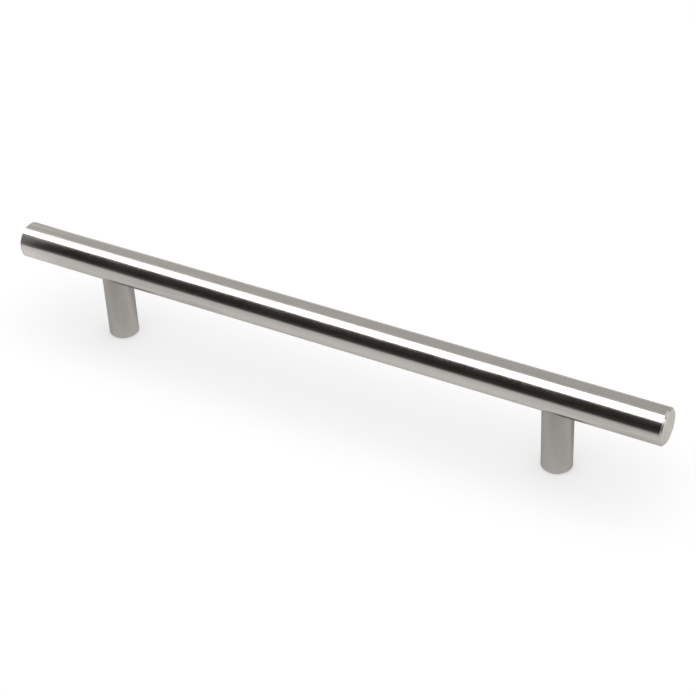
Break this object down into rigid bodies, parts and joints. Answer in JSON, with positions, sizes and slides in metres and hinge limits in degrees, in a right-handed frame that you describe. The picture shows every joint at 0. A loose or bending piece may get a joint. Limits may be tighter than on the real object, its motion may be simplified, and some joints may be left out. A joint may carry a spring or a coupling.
{
  "type": "t bar cabinet pull",
  "caption": "Round bar pull on turned posts with tapped feet, for a cabinet door or drawer front.",
  "frame": {"origin": "on the cabinet's face, halfway between the two feet, which is the middle of the part's underside", "axes": "+X along the bar, +Y across it, +Z away from the cabinet's face; the part stands on its two feet"},
  "size_m": [0.23, 0.012, 0.0333],
  "materials": {
    "satin_bar": "fine circumferential satin",
    "satin_post": "turned and satin finished",
    "stud_steel": "plain machined"
  },
  "bodies": {
    "root": {"bar": "satin_bar", "left_post": "satin_post", "right_post": "satin_post", "left_stud": "stud_steel", "right_stud": "stud_steel"}
  },
  "joints": []
}
